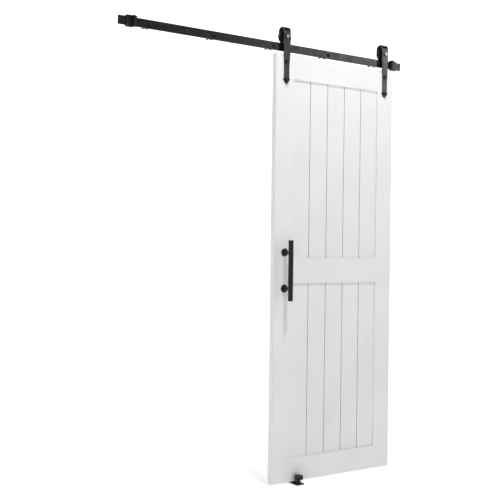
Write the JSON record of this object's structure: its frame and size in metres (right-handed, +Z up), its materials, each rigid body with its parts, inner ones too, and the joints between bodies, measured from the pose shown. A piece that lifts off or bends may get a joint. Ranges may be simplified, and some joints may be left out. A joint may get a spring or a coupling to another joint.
{
  "type": "sliding barn door",
  "caption": "Framed sliding door with grooved boards, hung from a flat wall track by strap hangers with grooved wheels, with pull handle, end stops and floor guide",
  "frame": {"origin": "on the wall plane, on the axis of the track's centre wall bolt, at the height of the track's centre line", "axes": "+X to the right along the track as seen from the room, +Y into the wall, +Z up; the door hangs on the -Y side"},
  "size_m": [1.664, 0.1765, 2.3076],
  "materials": {
    "track": "black powder coat, satin, fine grain",
    "spacers": "black powder coat",
    "wall_bolts": "black zinc, semi-matt",
    "stops": "black powder coat",
    "bumpers": "black rubber",
    "small_screws": "dark oxide steel",
    "guide": "black powder coat",
    "guide_screws": "black zinc",
    "guide_roller": "black nylon, turned",
    "door_frame": "white foil wrapped fibreboard, satin",
    "door_boards": "white foil wrapped fibreboard, satin",
    "dowels": "plain beech",
    "hangers": "black powder coat, satin",
    "wheels": "black nylon",
    "axles": "bright zinc plated steel, satin",
    "bushes": "plain turned steel",
    "bearings": "ground bearing steel",
    "door_bolts": "black zinc",
    "handle": "black powder coat, satin",
    "handle_screws": "black zinc"
  },
  "bodies": {
    "wall_side": {"track": "track", "wall_spacers": "spacers", "wall_bolts": "wall_bolts", "wall_washers": "wall_bolts", "left_stop": "stops", "right_stop": "stops", "left_bumper": "bumpers", "right_bumper": "bumpers", "stop_screws": "small_screws", "guide_plate": "guide", "guide_post": "guide", "guide_cap_screw": "guide", "guide_floor_screws": "guide_screws"},
    "left_roller": {"left_wheel": "wheels", "left_bearing_outer": "bearings", "left_bearing_balls": "bearings", "left_bearing_shields": "bearings"},
    "right_roller": {"right_wheel": "wheels", "right_bearing_outer": "bearings", "right_bearing_balls": "bearings", "right_bearing_shields": "bearings"},
    "floor_roller": {"guide_roller": "guide_roller"},
    "door": {"left_stile": "door_frame", "right_stile": "door_frame", "door_top_rail": "door_frame", "door_middle_rail": "door_frame", "door_bottom_rail": "door_frame", "upper_board_1": "door_boards", "upper_board_2": "door_boards", "upper_board_3": "door_boards", "upper_board_4": "door_boards", "upper_board_5": "door_boards", "lower_board_1": "door_boards", "lower_board_2": "door_boards", "lower_board_3": "door_boards", "lower_board_4": "door_boards", "lower_board_5": "door_boards", "frame_dowels": "dowels", "left_hanger": "hangers", "right_hanger": "hangers", "left_axle": "axles", "right_axle": "axles", "left_axle_nut": "axles", "right_axle_nut": "axles", "left_bushes": "bushes", "right_bushes": "bushes", "left_bearing_inner": "bearings", "right_bearing_inner": "bearings", "door_bolts": "door_bolts", "door_bolt_washers": "door_bolts", "door_sleeve_nuts": "door_bolts", "handle_bar": "handle", "handle_posts": "handle", "handle_roses": "handle", "handle_screws": "handle_screws"}
  },
  "joints": [
    {"name": "door_slide", "type": "slide", "parent": "wall_side", "child": "door", "axis": [1, 0, 0], "range_m": [-0.7898, 0.0236]},
    {"name": "left_wheel_spin", "type": "hinge", "parent": "door", "child": "left_roller", "pos_m": [0.0621, -0.039, 0.0513], "axis": [0, 1, 0], "continuous": true},
    {"name": "right_wheel_spin", "type": "hinge", "parent": "door", "child": "right_roller", "pos_m": [0.7041, -0.039, 0.0513], "axis": [0, 1, 0], "continuous": true},
    {"name": "floor_roller_spin", "type": "hinge", "parent": "wall_side", "child": "floor_roller", "pos_m": [0.1526, -0.0803, -2.1507], "axis": [0, 0, 1], "continuous": true}
  ],
  "couplings": [
    {"joint": "left_wheel_spin", "follows": "door_slide", "rad_per_m": 32.258},
    {"joint": "right_wheel_spin", "follows": "door_slide", "rad_per_m": 32.258}
  ]
}
